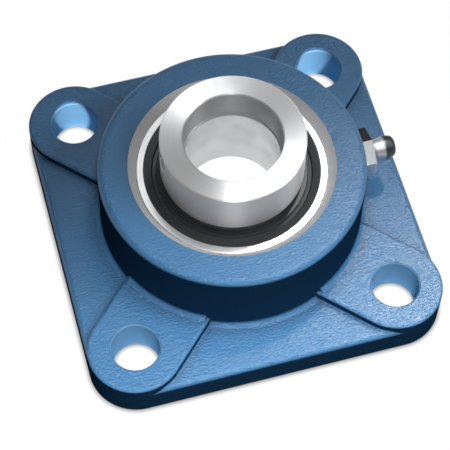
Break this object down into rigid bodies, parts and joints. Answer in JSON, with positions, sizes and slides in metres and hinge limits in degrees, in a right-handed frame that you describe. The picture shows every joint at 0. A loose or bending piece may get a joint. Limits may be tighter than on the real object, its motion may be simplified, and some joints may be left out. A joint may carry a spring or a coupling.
{
  "type": "four-bolt square flange bearing unit",
  "caption": "Square cast flange housing with a self-aligning ball bearing insert, an eccentric locking collar and a side grease nipple.",
  "frame": {"origin": "on the bearing axis, in the plane of the flange's mounting face", "axes": "+Z along the shaft axis, out of the boss; +X along the grease nipple"},
  "size_m": [0.095, 0.095, 0.0445],
  "materials": {
    "blue_enamel": "fine orange-peel enamel over cast iron",
    "bearing_steel": "ground bearing steel",
    "collar_steel": "fine turned steel",
    "ball_steel": "polished bearing balls",
    "cage_steel": "pressed steel sheet",
    "seal_rubber": "satin black nitrile rubber",
    "flinger_steel": "black oxide finish",
    "screw_steel": "black oxide alloy steel",
    "nipple_steel": "bright zinc plate",
    "spring_steel": "bright spring wire"
  },
  "bodies": {
    "housing": {"housing": "blue_enamel", "nipple_body": "nipple_steel", "nipple_spring": "spring_steel"},
    "outer": {"outer_ring": "bearing_steel", "front_seal": "seal_rubber", "rear_seal": "seal_rubber"},
    "inner": {"inner_ring": "bearing_steel", "front_flinger": "flinger_steel", "rear_flinger": "flinger_steel"},
    "cage": {"cage_front": "cage_steel", "cage_rear": "cage_steel", "cage_rivets": "cage_steel", "ball_1": "ball_steel", "ball_2": "ball_steel", "ball_3": "ball_steel", "ball_4": "ball_steel", "ball_5": "ball_steel", "ball_6": "ball_steel", "ball_7": "ball_steel", "ball_8": "ball_steel", "ball_9": "ball_steel"},
    "collar": {"locking_collar": "collar_steel"},
    "screw": {"set_screw": "screw_steel"},
    "check_ball": {"nipple_ball": "ball_steel"}
  },
  "joints": [
    {"name": "align_tilt", "type": "hinge", "parent": "housing", "child": "outer", "pos_m": [0, 0, 0.0215], "axis": [1, 0, 0], "range_deg": [-2.5, 2.5]},
    {"name": "shaft_spin", "type": "hinge", "parent": "outer", "child": "inner", "pos_m": [0, 0, 0.0215], "axis": [0, 0, 1], "continuous": true},
    {"name": "cage_spin", "type": "hinge", "parent": "outer", "child": "cage", "pos_m": [0, 0, 0.0215], "axis": [0, 0, 1], "continuous": true},
    {"name": "collar_turn", "type": "hinge", "parent": "inner", "child": "collar", "pos_m": [0, 0, 0.0215], "axis": [0, 0, 1], "range_deg": [-24, 24]},
    {"name": "screw_travel", "type": "slide", "parent": "collar", "child": "screw", "axis": [-0.9994, 0.0349, 0], "range_m": [-0.0005, 0.002]},
    {"name": "nipple_valve", "type": "slide", "parent": "housing", "child": "check_ball", "axis": [1, 0, 0], "range_m": [-0.001, 0], "stiffness_N_per_m": 200, "springref_m": 0.001, "deforming": ["nipple_spring"]}
  ],
  "couplings": [
    {"joint": "cage_spin", "follows": "shaft_spin", "ratio": 0.39823}
  ]
}
